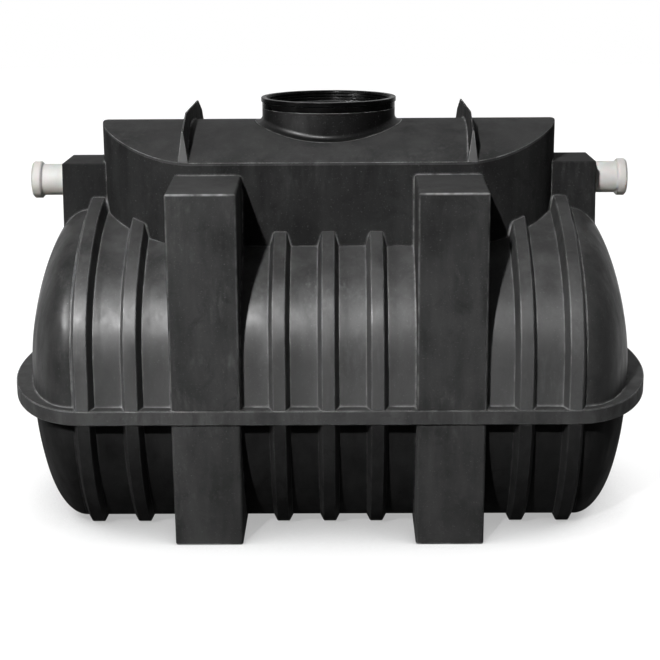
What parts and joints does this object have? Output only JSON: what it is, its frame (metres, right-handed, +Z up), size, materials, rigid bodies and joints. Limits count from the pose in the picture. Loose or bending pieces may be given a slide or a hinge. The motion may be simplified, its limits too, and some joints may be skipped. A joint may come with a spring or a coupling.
{
  "type": "septic tank",
  "caption": "Horizontal septic tank of black moulded plastic with hoops, box columns on saddles, a vaulted turret with an open manhole neck, and white pipe sockets at its ends.",
  "frame": {"origin": "on the ground under the middle of the tank", "axes": "+X along the tank towards the outlet, +Y from the front to the back, +Z up"},
  "size_m": [2.238, 1.296, 1.428],
  "materials": {
    "shell": "semi-matt black polyethylene",
    "rim": "smooth jet black",
    "pipe": "satin off-white PVC"
  },
  "bodies": {
    "root": {"column_back_left": "shell", "column_back_right": "shell", "column_front_left": "shell", "column_front_right": "shell", "inlet_housing": "shell", "inlet_pipe": "pipe", "lifting_fin_left": "shell", "lifting_fin_right": "shell", "lower_end_left": "shell", "lower_end_right": "shell", "lower_hull": "shell", "lower_rib_1": "shell", "lower_rib_2": "shell", "lower_rib_3": "shell", "lower_rib_4": "shell", "lower_rib_5": "shell", "lower_rib_6": "shell", "lower_rib_7": "shell", "manhole_neck": "shell", "outlet_housing": "shell", "outlet_pipe": "pipe", "parting_flange": "shell", "rim_ring": "rim", "saddle_left": "shell", "saddle_right": "shell", "turret_roof": "shell", "turret_wall": "shell", "upper_end_left": "shell", "upper_end_right": "shell", "upper_hull_back": "shell", "upper_hull_front": "shell", "upper_rib_1": "shell", "upper_rib_2": "shell", "upper_rib_3": "shell", "upper_rib_4": "shell", "upper_rib_5": "shell", "upper_rib_6": "shell", "upper_rib_7": "shell"}
  },
  "joints": []
}
